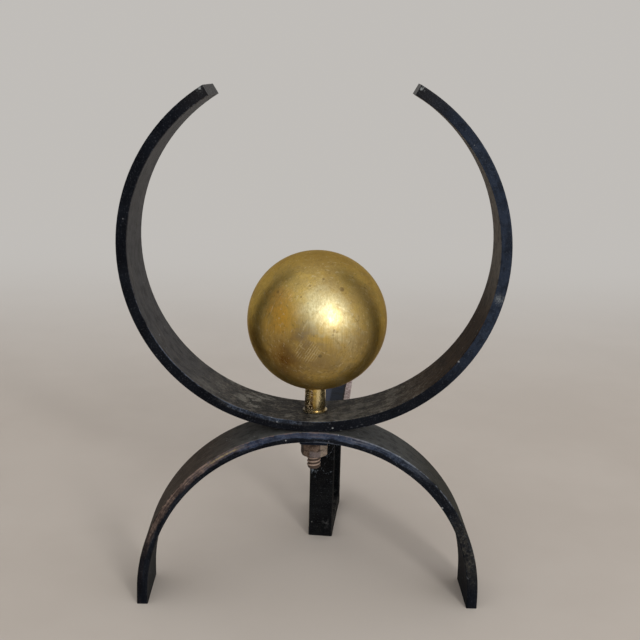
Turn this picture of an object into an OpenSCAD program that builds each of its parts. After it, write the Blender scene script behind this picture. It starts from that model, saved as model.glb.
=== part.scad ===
// Andiron. A crescent of flat bar holds a hollow brass ball over an arch of the
// same bar, and a short log bar on a U-shaped leg runs back from them.
// One stud with one nut clamps ball, sleeve, ring, crescent, arch and log bar.
// +X is to the right, +Y to the back, +Z up. The floor is at Z = 0.

/* [Flat bar] */
// Width of the bar that crescent and arch are bent from
bar_w = 38.1; // [25:0.1:50]
// Thickness of that bar
bar_t = 6.35; // [4:0.05:8]
// Radius of the worn edges of every bar
arris_r = 0.8; // [0.4:0.1:1.5]

/* [Crescent] */
// Outer radius of the two arms
arm_r = 102.6; // [90:0.1:110]
// Half of the angle that the flatter keel between the arms spans
keel_half_angle = 14; // [8:0.5:20]
// Outer radius of the keel
keel_r = 124.35; // [118:0.05:140]
// Where the left tip is cut, in degrees above the arm's centre
left_tip_angle = 57.8; // [45:0.1:70]
// Where the right tip is cut, in degrees above the arm's centre
right_tip_angle = 61; // [45:0.1:70]
// How far the crescent stands turned about the stud, in degrees
crescent_turn = 3.8; // [0:0.1:8]
// How far the stud hole lies to the right of the crescent's middle
crescent_hole_offset = 2.7; // [0:0.1:5]

/* [Arch] */
// Outer radius of the arch
arch_r = 100; // [85:0.5:110]
// Height of the straight feet below the half ring
foot_h = 8; // [2:0.5:20]
// How far the stud hole lies to the right of the arch's middle
arch_hole_offset = 2; // [0:0.1:5]

/* [Ball] */
// Diameter of the ball
ball_d = 79.4; // [60:0.1:90]
// Wall of the two spun shells
shell_t = 1.2; // [0.8:0.1:2]
// Height of the lip on the upper shell that plugs into the lower one
lip_h = 3; // [2:0.5:5]
// Wall of that lip
lip_t = 0.8; // [0.6:0.1:1.2]
// Diameter of the threaded bush inside the ball
bush_d = 22; // [18:0.5:28]
// Height of the bush above the shell
bush_h = 11; // [8:0.5:16]
// Diameter of the bush's spigot through the shell
spigot_d = 9.8; // [9.4:0.1:11]

/* [Stem] */
// Outer diameter of the sleeve between ball and crescent
sleeve_d = 12; // [11.4:0.1:16]
// Height from the ring up to the ball's lowest point
stem_h = 13.2; // [8:0.1:30]
// Outer diameter of the ring under the sleeve
ring_d = 14.2; // [13:0.1:20]
// Thickness of that ring
ring_t = 1; // [0.8:0.1:2]

/* [Stud and nut] */
// Diameter of the stud
stud_d = 7.94; // [7:0.02:8.6]
// How far the stud stands out below the nut
stud_below = 8.2; // [3:0.1:15]
// Bevel at both ends of the stud
stud_bevel = 1; // [0.5:0.1:1.5]
// Nut size across its flats
nut_af = 14.3; // [12.7:0.1:16]
// Height of the nut
nut_h = 8.3; // [5:0.1:10]
// How far the nut is turned from standing with a corner sideways, in degrees
nut_turn = 19; // [0:1:30]

/* [Log bar] */
// Width of the log bar
log_w = 25.4; // [22:0.1:32]
// Thickness of the log bar
log_t = 4.76; // [4:0.02:6.35]
// Width of its tongue under the arch, flush with the bar's left side
tongue_w = 15.9; // [13:0.1:20]
// How far the tongue reaches in front of the stud
tongue_front = 7.6; // [7:0.1:14]
// Where the tongue starts to widen, measured back from the stud
shoulder_at = 23; // [22:0.5:30]
// Length of that widening
shoulder_l = 9; // [3:0.5:12]
// How far the log bar stands turned about the stud, in degrees
log_turn = 4.8; // [0:0.1:8]
// How far the log bar reaches past the rear limb
log_overhang = 6; // [4:0.5:20]

/* [Rear leg] */
// Width of the leg's bar
leg_w = 15.9; // [12:0.1:20]
// Thickness of the leg's bar
leg_t = 6.35; // [5:0.05:8]
// Where the front limb's front face is, measured back from the stud
leg_front = 77.7; // [60:0.1:90]
// Depth of the leg over both limbs
leg_depth = 60.9; // [45:0.1:80]
// How far the leg's middle lies to the left of the stud
leg_offset = 2.3; // [0:0.1:2.6]
// How far the leg stands turned about the stud, in degrees
leg_turn = 6.8; // [4:0.1:9]
// Leg size of the weld beads under the log bar
weld_size = 3.6; // [2:0.1:3.9]

/* [Fits] */
// Gap all round the stud in the holes that it passes
hole_clearance = 0.28; // [0.1:0.02:0.5]
// Gap between the stud and the threads that hold it
thread_clearance = 0.05; // [0.02:0.01:0.1]
// Gap between faces that are clamped or soldered together
seat_gap = 0.02; // [0.01:0.01:0.05]

/* [Hidden] */
// Facets of large arcs, of round pieces and of the bars' edges
$fn = 96;
arc_fn = 240;
arris_fn = 24;
// Cutters run this far past what they cut
cut_over = 1;

// Arch: centre of the half ring, top and underside of its crown
arch_centre_z = foot_h;
crown_top_z = arch_centre_z + arch_r;
crown_under_z = crown_top_z - bar_t;

// Crescent: the keel and each arm share a tangent where they meet. The keel is a
// hair fuller all round than the arms, which run into it by a small angle
keel_fullness = 0.02;
arm_lap_angle = 1;
arm_start_angle = keel_half_angle - arm_lap_angle;
arm_spread = (keel_r - arm_r) * sin(keel_half_angle);
crescent_bottom_z = crown_top_z + seat_gap + keel_fullness;
keel_centre_z = crescent_bottom_z + keel_r;
arm_centre_z = keel_centre_z - (keel_r - arm_r) * cos(keel_half_angle);
keel_inner_r = keel_r - bar_t;

// Stem: the flat ring bridges the hollow of the keel, so its far edge sets its height
ring_reach = ring_d / 2 + crescent_hole_offset;
ring_rise = keel_inner_r - sqrt(pow(keel_inner_r, 2) - pow(ring_reach, 2));
ring_z = crescent_bottom_z + bar_t + ring_rise + keel_fullness + seat_gap;
sleeve_z = ring_z + ring_t + seat_gap;
ball_r = ball_d / 2;
ball_z = sleeve_z + stem_h + ball_r;
shell_inner_r = ball_r - shell_t;
bush_top_z = ball_z - shell_inner_r + bush_h;
lip_outer_r = sqrt(pow(shell_inner_r, 2) - pow(lip_h, 2)) - seat_gap;

// Log bar: its flat tongue lies under the curved crown, so the corner at the
// arch's rear face sets its height
tongue_reach = tongue_w / 2 * cos(log_turn) + bar_w / 2 * tan(log_turn) + arch_hole_offset;
arch_inner_r = arch_r - bar_t;
tongue_drop = arch_inner_r - sqrt(pow(arch_inner_r, 2) - pow(tongue_reach, 2));
log_top_z = crown_under_z - tongue_drop - seat_gap;
log_under_z = log_top_z - log_t;
log_end = leg_front + leg_depth + log_overhang;
log_left = -tongue_w / 2;
log_right = log_left + log_w;

// Nut and stud
nut_top_z = log_under_z - seat_gap;
nut_under_z = nut_top_z - nut_h;
stud_bottom_z = nut_under_z - stud_below;
stud_top_z = bush_top_z - stud_bevel;
stud_hole_d = stud_d + 2 * hole_clearance;
thread_hole_d = stud_d + 2 * thread_clearance;

// Origin: floor level under the middle of the whole part, measured from the stud.
// The crescent sets both sides, it or the ball the front, the log bar the back.
side_x = -crescent_hole_offset * cos(crescent_turn);
corner_u = arm_spread + arm_r - arris_r - crescent_hole_offset;
corner_v = bar_w / 2 - arris_r;
crescent_front_y = -corner_u * sin(crescent_turn) - corner_v * cos(crescent_turn) - arris_r;
front_y = min(crescent_front_y, -ball_r);
back_y = log_end * cos(log_turn) - log_left * sin(log_turn);
origin_x = side_x;
origin_y = (front_y + back_y) / 2;

// Puts what is drawn about the stud at its place about the origin
module about_stud(turn = 0) {
    translate([-origin_x, -origin_y, 0])
        rotate([0, 0, -turn])
            children();
}

// Section of a flat bar with rounded edges: thickness along X, width about Y = 0
module bar_section(thick, wide) {
    translate([arris_r, -wide / 2])
        square([thick - 2 * arris_r, wide]);
    translate([0, -wide / 2 + arris_r])
        square([thick, wide - 2 * arris_r]);
    for (x = [arris_r, thick - arris_r])
        for (y = [-1, 1])
            translate([x, y * (wide / 2 - arris_r)])
                circle(r = arris_r, $fn = arris_fn);
}

// Bar bent on edge to an arc in the XZ plane, from angle a0 to a1 above +X
module bent_bar(outer_r, thick, wide, a0, a1) {
    rotate([90, 0, 0])
        rotate([0, 0, a0])
            rotate_extrude(angle = a1 - a0, $fn = arc_fn)
                translate([outer_r - thick, 0])
                    bar_section(thick, wide);
}

// Vertical hole at the stud
module stud_hole(z, h, d) {
    translate([0, 0, z - cut_over])
        cylinder(d = d, h = h + 2 * cut_over);
}

module crescent() {
    color("#1c1f24")
        about_stud(crescent_turn)
            difference() {
                translate([-crescent_hole_offset, 0, 0])
                    crescent_bar();
                stud_hole(crescent_bottom_z, 2 * bar_t, stud_hole_d);
            }
}

// Flatter keel at the bottom, running into an arm at each side
module crescent_bar() {
    translate([0, 0, keel_centre_z])
        bent_bar(
            keel_r + keel_fullness, bar_t + 2 * keel_fullness, bar_w + 2 * keel_fullness,
            270 - keel_half_angle, 270 + keel_half_angle
        );
    translate([arm_spread, 0, arm_centre_z])
        bent_bar(arm_r, bar_t, bar_w, arm_start_angle - 90, right_tip_angle);
    translate([-arm_spread, 0, arm_centre_z])
        bent_bar(arm_r, bar_t, bar_w, 180 - left_tip_angle, 270 - arm_start_angle);
}

module arch() {
    color("#1c1f24")
        about_stud()
            difference() {
                translate([-arch_hole_offset, 0, 0])
                    arch_bar();
                stud_hole(crown_under_z, bar_t, stud_hole_d);
            }
}

// Half ring with a straight foot at each end
module arch_bar() {
    translate([0, 0, arch_centre_z])
        bent_bar(arch_r, bar_t, bar_w, 0, 180);
    for (side = [0, 1])
        mirror([side, 0, 0])
            translate([arch_r - bar_t, 0, 0])
                linear_extrude(height = foot_h)
                    bar_section(bar_t, bar_w);
}

// Flat bar, cut away at its right front to leave the tongue that the nut clamps
module log_bar() {
    color("#23201f")
        about_stud(log_turn)
            difference() {
                translate([0, 0, log_under_z])
                    intersection() {
                        linear_extrude(height = log_t)
                            log_outline();
                        log_long_edges();
                    }
                stud_hole(log_under_z, log_t, stud_hole_d);
            }
}

module log_outline() {
    polygon([
        [log_left, -tongue_front],
        [log_left + tongue_w, -tongue_front],
        [log_left + tongue_w, shoulder_at],
        [log_right, shoulder_at + shoulder_l],
        [log_right, log_end],
        [log_left, log_end]
    ]);
}

// The bar's rounded long edges, longer than the bar itself
module log_long_edges() {
    translate([log_left + log_w / 2, log_end + cut_over, log_t])
        rotate([90, 90, 0])
            linear_extrude(height = log_end + tongue_front + 2 * cut_over)
                bar_section(log_t, log_w);
}

// Draws the leg's own frame, X back from its front face, at its place
module about_leg() {
    about_stud(leg_turn)
        translate([-leg_offset, leg_front, 0])
            rotate([0, 0, 90])
                children();
}

// Square-cornered U: two upright limbs joined by a foot along the floor
module rear_leg() {
    color("#17181a")
        about_leg() {
            for (x = [0, leg_depth - leg_t])
                translate([x, 0, 0])
                    linear_extrude(height = log_under_z - seat_gap)
                        bar_section(leg_t, leg_w);
            translate([0, 0, leg_t])
                rotate([0, 90, 0])
                    linear_extrude(height = leg_depth)
                        bar_section(leg_t, leg_w);
        }
}

// A quarter-round bead in the corner under the log bar, before the face at X = 0
module weld_bead() {
    bead_l = leg_w - 2 * arris_r;
    translate([-seat_gap, bead_l / 2, log_under_z - seat_gap])
        rotate([90, 0, 0])
            intersection() {
                cylinder(r = weld_size, h = bead_l);
                translate([-2 * weld_size, -2 * weld_size, -cut_over])
                    cube([2 * weld_size, 2 * weld_size, bead_l + 2 * cut_over]);
            }
}

// Beads on the front and the back of the limb whose front face is at the given depth
module limb_welds(depth) {
    color("#3a3632")
        about_leg()
            translate([depth, 0, 0]) {
                weld_bead();
                translate([leg_t, 0, 0])
                    mirror([1, 0, 0])
                        weld_bead();
            }
}

module front_limb_welds() {
    limb_welds(0);
}

module rear_limb_welds() {
    limb_welds(leg_depth - leg_t);
}

// Half of the hollow ball, above its middle for side 1 or below it for side -1
module half_ball(side) {
    difference() {
        sphere(r = ball_r);
        sphere(r = shell_inner_r);
        translate([-ball_d, -ball_d, side > 0 ? -2 * ball_d : 0])
            cube(2 * ball_d);
    }
}

// The lip below the upper shell's rim, and its root that reaches into the wall
module lip_section() {
    translate([lip_outer_r - lip_t, -lip_h])
        square([lip_t, 2 * lip_h]);
    translate([lip_outer_r - lip_t, 0])
        square([lip_t + shell_t / 2, lip_h]);
}

module ball_upper_shell() {
    color("#b08a35")
        about_stud()
            translate([0, 0, ball_z + seat_gap]) {
                half_ball(1);
                rotate_extrude()
                    lip_section();
            }
}

module ball_lower_shell() {
    color("#a98331")
        about_stud()
            translate([0, 0, ball_z])
                difference() {
                    half_ball(-1);
                    stud_hole(-ball_r, 2 * shell_t, spigot_d + 2 * seat_gap);
                }
}

// Bush seated in the shell, with a spigot dressed flush with the ball outside
module ball_bush() {
    color("#9c7a30")
        about_stud()
            difference() {
                translate([0, 0, ball_z]) {
                    intersection() {
                        sphere(r = shell_inner_r - seat_gap);
                        translate([0, 0, -ball_r])
                            cylinder(d = bush_d, h = shell_t + bush_h);
                    }
                    intersection() {
                        sphere(r = ball_r);
                        translate([0, 0, -ball_r])
                            cylinder(d = spigot_d, h = shell_t + bush_h / 2);
                    }
                }
                stud_hole(ball_z - ball_r, shell_t + bush_h, thread_hole_d);
            }
}

// Tube between ring and ball, its top dished to the ball
module stem_sleeve() {
    color("#a5803a")
        about_stud()
            difference() {
                translate([0, 0, sleeve_z])
                    cylinder(d = sleeve_d, h = stem_h + bar_t);
                translate([0, 0, ball_z])
                    sphere(r = ball_r + seat_gap);
                stud_hole(sleeve_z, stem_h + bar_t, stud_hole_d);
            }
}

module stem_ring() {
    color("#b7a375")
        about_stud()
            difference() {
                translate([0, 0, ring_z])
                    cylinder(d = ring_d, h = ring_t);
                stud_hole(ring_z, ring_t, stud_hole_d);
            }
}

// Plain over its whole length: the thread is too fine to change what it holds
module stud() {
    stud_r = stud_d / 2;
    color("#6e5143")
        about_stud()
            rotate_extrude()
                polygon([
                    [0, stud_bottom_z],
                    [stud_r - stud_bevel, stud_bottom_z],
                    [stud_r, stud_bottom_z + stud_bevel],
                    [stud_r, stud_top_z - stud_bevel],
                    [stud_r - stud_bevel, stud_top_z],
                    [0, stud_top_z]
                ]);
}

// Hexagon with its corners chamfered at both ends
module hex_nut() {
    corner_r = nut_af / 2 / cos(30);
    chamfer_h = (corner_r - nut_af / 2) * tan(30);
    color("#6a4e42")
        about_stud(nut_turn)
            translate([0, 0, nut_under_z])
                difference() {
                    intersection() {
                        cylinder(r = corner_r, h = nut_h, $fn = 6);
                        union() {
                            cylinder(r1 = nut_af / 2, r2 = corner_r, h = chamfer_h);
                            translate([0, 0, chamfer_h])
                                cylinder(r = corner_r, h = nut_h - 2 * chamfer_h);
                            translate([0, 0, nut_h - chamfer_h])
                                cylinder(r1 = corner_r, r2 = nut_af / 2, h = chamfer_h);
                        }
                    }
                    stud_hole(0, nut_h, thread_hole_d);
                }
}

crescent();
arch();
log_bar();
rear_leg();
front_limb_welds();
rear_limb_welds();
ball_upper_shell();
ball_lower_shell();
ball_bush();
stem_sleeve();
stem_ring();
stud();
hex_nut();
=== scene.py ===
import math

import bpy
from mathutils import Matrix, Vector


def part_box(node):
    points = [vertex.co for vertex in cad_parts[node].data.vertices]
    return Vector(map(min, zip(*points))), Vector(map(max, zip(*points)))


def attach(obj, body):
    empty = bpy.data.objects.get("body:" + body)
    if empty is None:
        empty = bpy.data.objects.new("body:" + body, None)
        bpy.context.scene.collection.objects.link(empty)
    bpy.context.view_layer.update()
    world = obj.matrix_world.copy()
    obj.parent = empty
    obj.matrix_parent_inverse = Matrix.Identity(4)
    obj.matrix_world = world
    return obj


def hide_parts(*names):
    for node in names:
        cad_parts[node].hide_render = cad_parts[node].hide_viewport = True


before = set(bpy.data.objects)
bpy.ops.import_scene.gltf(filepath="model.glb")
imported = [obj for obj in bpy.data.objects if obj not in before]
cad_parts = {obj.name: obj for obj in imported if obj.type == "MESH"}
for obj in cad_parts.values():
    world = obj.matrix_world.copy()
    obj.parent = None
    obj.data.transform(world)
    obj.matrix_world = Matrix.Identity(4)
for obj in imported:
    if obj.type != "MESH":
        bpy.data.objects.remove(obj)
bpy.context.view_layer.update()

MM = 0.001

# Bar stock and bends, as in the part's source
BAR_T = 6.35 * MM
BAR_W = 38.1 * MM
CRESCENT_TURN = math.radians(3.8)
CRESCENT_HOLE_OFFSET = 2.7 * MM
ARM_R = 102.6 * MM
KEEL_R = 124.35 * MM
KEEL_HALF_ANGLE = math.radians(14)
ARCH_R = 100 * MM
ARCH_HOLE_OFFSET = 2 * MM
LOG_TURN = math.radians(4.8)
LEG_TURN = math.radians(6.8)
LEG_OFFSET = 2.3 * MM
LEG_FRONT = 77.7 * MM
LEG_DEPTH = 60.9 * MM
LEG_W = 15.9 * MM
LEG_T = 6.35 * MM
WELD_SIZE = 3.6 * MM
SEAT_GAP = 0.02 * MM
NUT_TURN = math.radians(19)
NUT_AF = 14.3 * MM
THREAD_RIDGE_R = 0.55 * MM
THREAD_PITCH = 2.1 * MM
STUD_BEVEL = 0.8 * MM
DROP_SQUASH = 0.42
# Corners this near to a level count as lying on it
AT_LEVEL = 0.1 * MM

# Places read from the frame
STUD_LOW, STUD_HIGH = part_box("stud")
STUD_X = (STUD_LOW.x + STUD_HIGH.x) / 2
STUD_Y = (STUD_LOW.y + STUD_HIGH.y) / 2
STUD_R = (STUD_HIGH.x - STUD_LOW.x) / 2
NUT_LOW, NUT_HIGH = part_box("hex_nut")
CROWN_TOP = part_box("arch")[1].z
CRESCENT_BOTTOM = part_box("crescent")[0].z
KEEL_CENTRE = CRESCENT_BOTTOM + KEEL_R
ARM_SPREAD = (KEEL_R - ARM_R) * math.sin(KEEL_HALF_ANGLE)
ARM_CENTRE = KEEL_CENTRE - (KEEL_R - ARM_R) * math.cos(KEEL_HALF_ANGLE)
ARCH_CENTRE = CROWN_TOP - ARCH_R
LOG_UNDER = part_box("log_bar")[0].z
BALL_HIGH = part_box("ball_upper_shell")[1]
BALL_R = (BALL_HIGH.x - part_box("ball_upper_shell")[0].x) / 2
BALL_CENTRE = (STUD_X, STUD_Y, BALL_HIGH.z - BALL_R)


# ---------------------------------------------------------------- node helpers

class Signal:
    """A node's output, which adds, subtracts and multiplies like a number."""

    def __init__(self, socket):
        self.socket = socket

    def __add__(self, other):
        return maths("ADD", self, other)

    def __radd__(self, other):
        return maths("ADD", other, self)

    def __sub__(self, other):
        return maths("SUBTRACT", self, other)

    def __rsub__(self, other):
        return maths("SUBTRACT", other, self)

    def __mul__(self, other):
        return maths("MULTIPLY", self, other)


def tree_of(*values):
    """The node tree of the first signal among some values."""
    return next(value.socket.id_data for value in values if isinstance(value, Signal))


def by_name(outputs):
    """A node's outputs as signals, under their names."""
    return {output.name: Signal(output) for output in outputs}


def feed(socket, value):
    """Links a signal to a socket, or sets the socket's own value."""
    if isinstance(value, Signal):
        socket.id_data.links.new(value.socket, socket)
    else:
        socket.default_value = value


def add_node(tree, kind, inputs=None, **settings):
    """Adds a node with its properties and the values or links of its sockets."""
    made = tree.nodes.new(kind)
    for name, value in settings.items():
        setattr(made, name, value)
    for name, value in (inputs or {}).items():
        feed(made.inputs[name], value)
    return made


def coordinates(tree, kind="Object"):
    return Signal(tree.nodes.new("ShaderNodeTexCoord").outputs[kind])


def maths(operation, *values, clamp=False):
    made = add_node(tree_of(*values), "ShaderNodeMath", operation=operation, use_clamp=clamp)
    for socket, value in zip(made.inputs, values):
        feed(socket, value)
    return Signal(made.outputs[0])


def vector_maths(operation, *values):
    made = add_node(tree_of(*values), "ShaderNodeVectorMath", operation=operation)
    for socket, value in zip(made.inputs, values):
        feed(socket, value)
    one_number = operation in ("LENGTH", "DISTANCE", "DOT_PRODUCT")
    return Signal(made.outputs["Value" if one_number else "Vector"])


def split_vector(vector):
    made = add_node(tree_of(vector), "ShaderNodeSeparateXYZ", {"Vector": vector})
    return [Signal(output) for output in made.outputs]


def join_vector(x, y, z=0.0):
    made = add_node(tree_of(x, y, z), "ShaderNodeCombineXYZ", {"X": x, "Y": y, "Z": z})
    return Signal(made.outputs[0])


def ramp(value, low, high, out_low=0.0, out_high=1.0):
    """Smooth step of a value from low..high to out_low..out_high."""
    made = add_node(tree_of(value), "ShaderNodeMapRange", {
        "Value": value, "From Min": low, "From Max": high, "To Min": out_low, "To Max": out_high},
        interpolation_type="SMOOTHSTEP")
    return Signal(made.outputs["Result"])


def band(value, low, high, soft):
    """1 between low and high, fading to 0 over a soft margin at both ends."""
    return ramp(value, low - soft, low + soft) * ramp(value, high + soft, high - soft)


def mix_colour(factor, first, second):
    made = add_node(tree_of(factor, first, second), "ShaderNodeMix", {
        "Factor": factor, 6: first, 7: second}, data_type="RGBA")
    return Signal(made.outputs[2])


def mix_value(factor, first, second):
    made = add_node(tree_of(factor, first, second), "ShaderNodeMix", {
        "Factor": factor, 2: first, 3: second}, data_type="FLOAT")
    return Signal(made.outputs[0])


def grain(vector, scale, detail=4.0, roughness=0.55, distortion=0.0):
    """Cloudy noise from 0 to 1."""
    made = add_node(tree_of(vector), "ShaderNodeTexNoise", {
        "Vector": vector, "Scale": scale, "Detail": detail,
        "Roughness": roughness, "Distortion": distortion})
    return Signal(made.outputs["Fac"])


def stretched(vector, scale, turn=(0.0, 0.0, 0.0)):
    """Turns a vector and then scales each of its axes, which draws a pattern out."""
    made = add_node(tree_of(vector), "ShaderNodeMapping", {
        "Vector": vector, "Scale": tuple(1.0 / value for value in scale), "Rotation": turn},
        vector_type="TEXTURE")
    return Signal(made.outputs["Vector"])


def dots(vector, scale, share, radius):
    """Small round dots in a share of the cells of a scattered pattern."""
    tree = tree_of(vector)
    cells = by_name(add_node(tree, "ShaderNodeTexVoronoi", {
        "Vector": vector, "Scale": scale, "Randomness": 1.0}).outputs)
    chance = Signal(add_node(tree, "ShaderNodeSeparateColor", {"Color": cells["Color"]}).outputs[0])
    return ramp(cells["Distance"], radius, radius * 0.45) * maths("LESS_THAN", chance, share)


def spot(place, centre, radius, ragged=0.0, core=0.55):
    """1 in a round mark about a point; its edge is moved in or out by a ragged length."""
    away = vector_maths("DISTANCE", place, centre) + ragged
    return ramp(away, radius, radius * core)


def new_group(name, inputs, outputs):
    """Node group with named sockets; returns its inputs as signals and its output sockets."""
    tree = bpy.data.node_groups.new(name, "ShaderNodeTree")
    for label, kind, default in inputs:
        socket = tree.interface.new_socket(label, in_out="INPUT", socket_type=kind)
        if default is not None:
            socket.default_value = default
    for label, kind in outputs:
        tree.interface.new_socket(label, in_out="OUTPUT", socket_type=kind)
    given = by_name(tree.nodes.new("NodeGroupInput").outputs)
    out = tree.nodes.new("NodeGroupOutput").inputs
    return tree, given, out


def use_group(group, **inputs):
    """A shared effect with some of its inputs set; returns its outputs under their names."""
    made = tree_of(*inputs.values()).nodes.new("ShaderNodeGroup")
    made.node_tree = group
    for name, value in inputs.items():
        feed(made.inputs[name.replace("_", " ")], value)
    return by_name(made.outputs)


FLOAT, VECTOR, COLOUR = "NodeSocketFloat", "NodeSocketVector", "NodeSocketColor"


# ---------------------------------------------------------------- shared effects

def build_bent_bar():
    """Follows a bent bar: how far along, across and under its outer face a point lies."""
    tree, given, out = new_group(
        "bent_bar",
        [("Place", VECTOR, None), ("Upside", FLOAT, 1.0), ("Straight ends", FLOAT, 0.0),
         ("Arc spread", FLOAT, 0.0), ("Arc height", FLOAT, 0.0), ("Arc radius", FLOAT, 0.1),
         ("Keel height", FLOAT, 0.0), ("Keel radius", FLOAT, 0.1), ("Keel angle", FLOAT, 0.0)],
        [("Run", VECTOR), ("Turn", FLOAT), ("Depth", FLOAT), ("Edge distance", FLOAT),
         ("Front", FLOAT), ("Inner", FLOAT), ("Outer", FLOAT)])
    x, y, z = split_vector(given["Place"])
    side = maths("ABSOLUTE", x)
    # Arm: an arc about a centre that stands off to the side
    arm_side = side - given["Arc spread"]
    rise = (z - given["Arc height"]) * given["Upside"]
    lower = maths("MAXIMUM", rise * -1.0, 0.0)
    lower = lower * given["Straight ends"]
    rise = mix_value(given["Straight ends"], rise, maths("MAXIMUM", rise, 0.0))
    arm = join_vector(arm_side, rise)
    arm_turn = maths("ARCTAN2", arm_side, rise)
    arm_depth = given["Arc radius"] - vector_maths("LENGTH", arm)
    # Keel: a flatter arc about the middle
    keel_rise = (z - given["Keel height"]) * given["Upside"]
    keel = join_vector(side, keel_rise)
    keel_turn = maths("ARCTAN2", side, keel_rise)
    keel_depth = given["Keel radius"] - vector_maths("LENGTH", keel)
    in_keel = maths("LESS_THAN", keel_turn, given["Keel angle"])
    turn = mix_value(in_keel, arm_turn, keel_turn)
    depth = mix_value(in_keel, arm_depth, keel_depth)
    sign = maths("SIGN", x)
    along = (turn * given["Arc radius"] + lower) * sign
    inward = BAR_T - depth
    to_face = maths("MINIMUM", depth, inward)
    to_side = BAR_W / 2 - maths("ABSOLUTE", y)
    near = 0.3 * MM
    feed(out["Run"], join_vector(along, y, depth))
    feed(out["Turn"], turn * sign * math.degrees(1))
    feed(out["Depth"], depth)
    feed(out["Edge distance"], maths("MAXIMUM", to_face, to_side))
    feed(out["Front"], maths("LESS_THAN", BAR_W / 2 + y, near))
    feed(out["Inner"], maths("LESS_THAN", inward, near))
    feed(out["Outer"], maths("LESS_THAN", depth, near))
    return tree


def build_iron_enamel():
    """Black enamel on iron: streaked lengthwise, mottled, rubbed at the edges, specked."""
    tree, given, out = new_group(
        "iron_enamel",
        [("Run", VECTOR, None), ("Edge distance", FLOAT, 0.01),
         ("Enamel", COLOUR, (0.008, 0.009, 0.013, 1)), ("Rubbed", COLOUR, (0.09, 0.11, 0.15, 1)),
         ("Rub", FLOAT, 0.5), ("Streaks", FLOAT, 0.3), ("Mottle", FLOAT, 0.0),
         ("Mottle colour", COLOUR, (0.11, 0.10, 0.07, 1)), ("Specks", FLOAT, 0.5),
         ("Scratches", FLOAT, 0.4), ("Gloss", FLOAT, 0.3)],
        [("Color", COLOUR), ("Roughness", FLOAT), ("Height", FLOAT)])
    run = given["Run"]
    blotches = grain(run, 48.0, 5.0, 0.6)
    patches = grain(run, 150.0, 5.0, 0.68)
    fine = grain(run, 520.0, 3.0, 0.6)
    grit = grain(run, 1300.0, 2.0, 0.6)
    streak_noise = grain(stretched(run, (0.07, 1, 1)), 700.0, 3.0, 0.6)
    streaks = (ramp(streak_noise, 0.5, 0.7) * ramp(blotches, 0.36, 0.6, 0.25, 1.0)
               * given["Streaks"])
    mottle = (ramp(patches, 0.40, 0.62, 0.3, 1.0) * ramp(fine, 0.34, 0.62, 0.25, 1.0)
              * ramp(grit, 0.36, 0.6, 0.45, 1.0) * given["Mottle"])
    # Edge rub: narrow where the blotches are low, broad where they are high
    reach = ramp(blotches, 0.38, 0.64, 0.25, 1.0) * given["Rub"] * (2.2 * MM)
    ragged = given["Edge distance"] + (fine - 0.5) * (1.3 * MM)
    rub = maths("SUBTRACT", 1.0, ramp(ragged, 0.0, reach), clamp=True)
    scratch_a = grain(stretched(run, (1, 1, 0.07), (0.5, 0.7, 0.2)), 950.0, 1.0)
    scratch_b = grain(stretched(run, (0.06, 1, 1), (0.3, 0.4, -0.5)), 850.0, 1.0)
    scratches = maths("MAXIMUM", ramp(scratch_a, 0.71, 0.78), ramp(scratch_b, 0.72, 0.79))
    scratches = scratches * ramp(blotches, 0.42, 0.58) * given["Scratches"]
    specks = (maths("MAXIMUM", dots(run, 330.0, 0.07, 0.17), dots(run, 170.0, 0.04, 0.13))
              * given["Specks"])
    darker = mix_colour(0.55, given["Enamel"], (0.002, 0.002, 0.003, 1))
    uneven = patches * 0.7 + streak_noise * 0.3
    colour = mix_colour(ramp(uneven, 0.40, 0.54), darker, given["Enamel"])
    colour = mix_colour(ramp(blotches, 0.3, 0.7) * 0.025, colour, given["Rubbed"])
    colour = mix_colour(streaks, colour, given["Rubbed"])
    shade = mix_colour(ramp(fine, 0.3, 0.7), colour, given["Mottle colour"])
    colour = mix_colour(mottle, colour, mix_colour(0.6, shade, given["Mottle colour"]))
    colour = mix_colour(rub * 0.8, colour, given["Rubbed"])
    colour = mix_colour(scratches, colour, (0.16, 0.17, 0.19, 1))
    colour = mix_colour(specks, colour, (0.36, 0.37, 0.38, 1))
    colour = mix_colour(ramp(grit, 0.57, 0.70) * 0.11, colour, (0.20, 0.21, 0.24, 1))
    rough = given["Gloss"] + fine * 0.12 + mottle * 0.35 + rub * 0.1
    height = (fine * 0.4 + grit * 0.3 + patches * 0.35 + blotches * 0.5 + scratches * -0.2
              + specks * -0.35 + streaks * -0.15)
    feed(out["Color"], colour)
    feed(out["Roughness"], maths("MINIMUM", rough, 1.0))
    feed(out["Height"], height)
    return tree


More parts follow.
